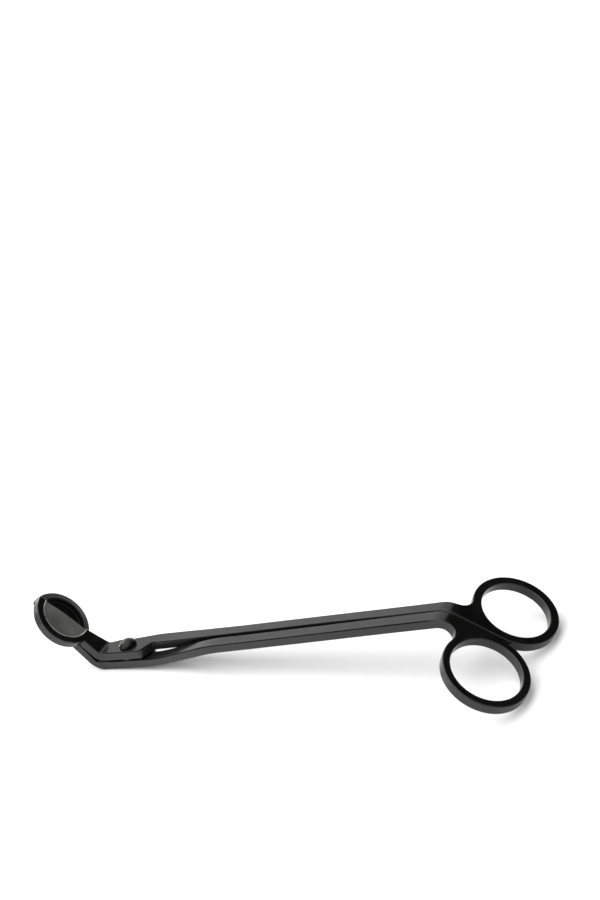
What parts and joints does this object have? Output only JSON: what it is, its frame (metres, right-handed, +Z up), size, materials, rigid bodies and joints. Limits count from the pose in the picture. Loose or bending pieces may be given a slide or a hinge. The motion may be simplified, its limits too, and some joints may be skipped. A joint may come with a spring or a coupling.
{
  "type": "wick trimmer",
  "caption": "Black steel candle wick trimmer with bent scissor arms, open finger loops and a tilted round head that catches the cut wick between two half-moon blades.",
  "frame": {"origin": "centre of the bounding box's footprint on the table", "axes": "+X from the cutting head towards the finger loops, +Y towards the upper arm's loop, +Z up"},
  "size_m": [0.1824, 0.0592, 0.0313],
  "materials": {
    "arm_black": "gloss",
    "blade_black": "matte",
    "screw_black": "gloss",
    "washer_dark": "satin"
  },
  "bodies": {
    "lower": {"bottom_arm": "arm_black", "bottom_blade_plate": "blade_black", "pivot_screw": "screw_black", "pivot_washer": "washer_dark"},
    "upper": {"top_arm": "arm_black", "top_blade_plate": "blade_black"}
  },
  "joints": [
    {"name": "pivot", "type": "hinge", "parent": "lower", "child": "upper", "pos_m": [-0.05923, -0.00032, 0.00417], "axis": [-0.0679, 0, 0.9977], "range_deg": [0, 35]}
  ]
}
